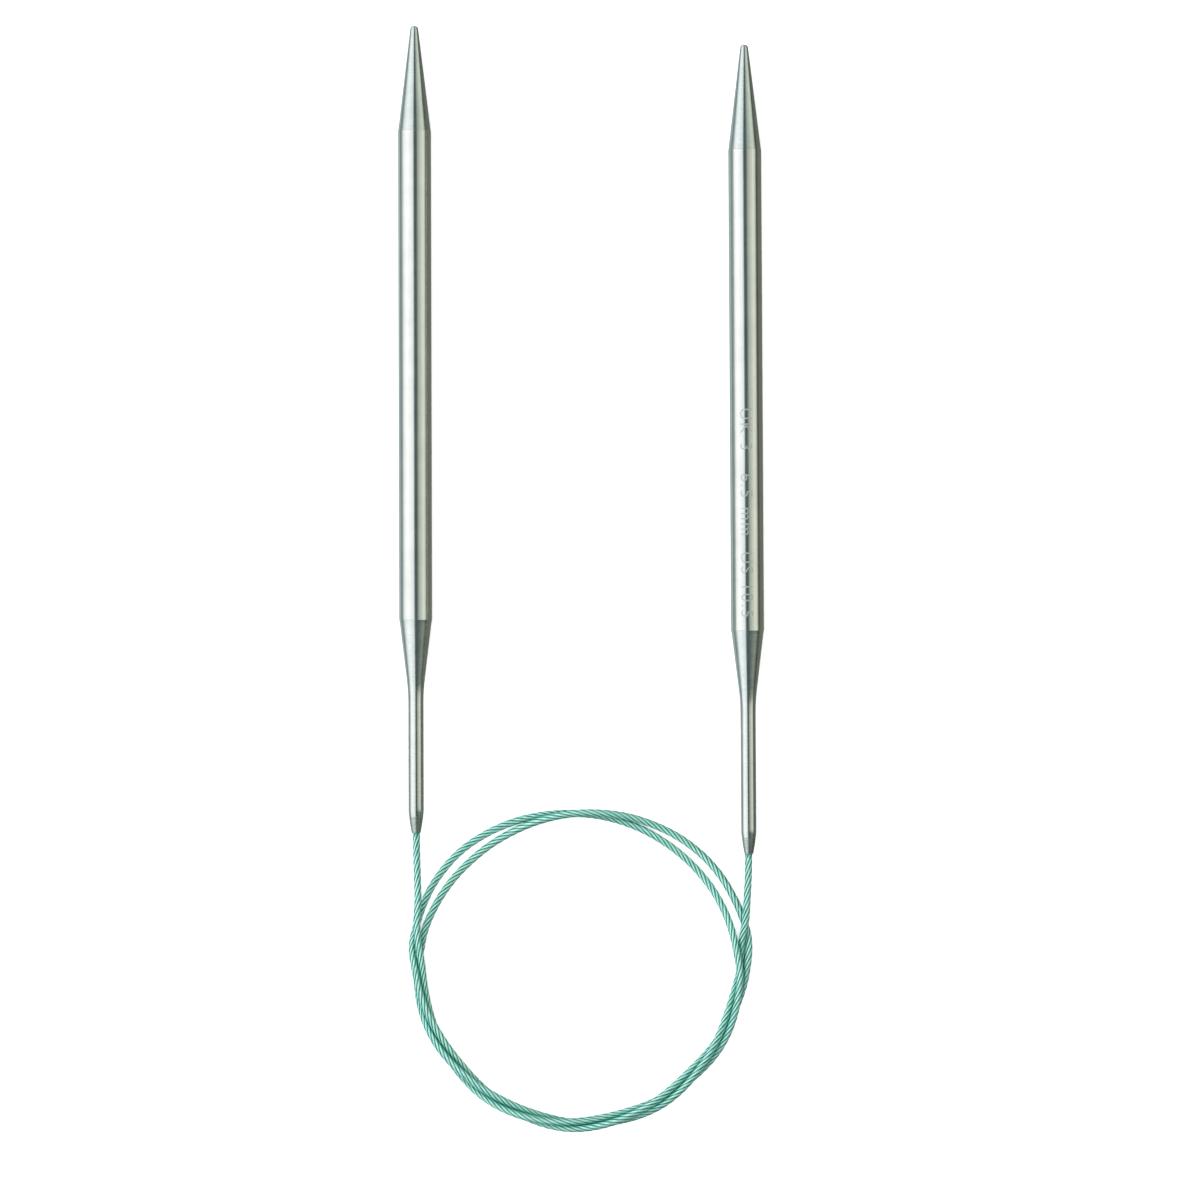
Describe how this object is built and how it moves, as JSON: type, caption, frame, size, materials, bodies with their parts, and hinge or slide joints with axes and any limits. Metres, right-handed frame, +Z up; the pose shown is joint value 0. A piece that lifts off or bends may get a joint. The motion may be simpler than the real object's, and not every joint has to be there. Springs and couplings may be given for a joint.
{
  "type": "circular knitting needle",
  "caption": "Pair of tapered round steel needles joined end to end by a thin coiled cable on swivels.",
  "frame": {"origin": "on the surface the object lies on, below the middle of the box round the two needles", "axes": "+Y runs along the needles towards their points, +X runs from the left needle to the right one, +Z is up from the surface"},
  "size_m": [0.0722, 0.2178, 0.0065],
  "materials": {
    "polished_steel": "polished stainless steel with fine lengthwise polishing marks",
    "matt_steel": "blasted stainless steel, matt and slightly grainy",
    "ferrule_steel": "swaged stainless steel sleeve",
    "wire_rope": "bare stranded stainless steel rope",
    "coated_cable": "clear sea-green nylon over stranded steel wire rope"
  },
  "bodies": {
    "cable": {"left_ferrule": "ferrule_steel", "left_rope_end": "wire_rope", "left_cable_tail": "coated_cable", "right_ferrule": "ferrule_steel", "right_rope_end": "wire_rope", "right_cable_tail": "coated_cable", "cable_coil": "coated_cable"},
    "left_needle": {"left_point": "polished_steel", "left_barrel": "polished_steel", "left_neck": "polished_steel", "left_end_collar": "matt_steel"},
    "right_needle": {"right_point": "polished_steel", "right_barrel": "polished_steel", "right_neck": "polished_steel", "right_end_collar": "matt_steel"}
  },
  "joints": [
    {"name": "left_swivel", "type": "hinge", "parent": "cable", "child": "left_needle", "pos_m": [-0.03247, -0.07735, 0.00325], "axis": [-0.0024, 1, 0], "continuous": true},
    {"name": "right_swivel", "type": "hinge", "parent": "cable", "child": "right_needle", "pos_m": [0.03307, -0.08145, 0.00325], "axis": [-0.0059, 1, 0], "continuous": true}
  ]
}
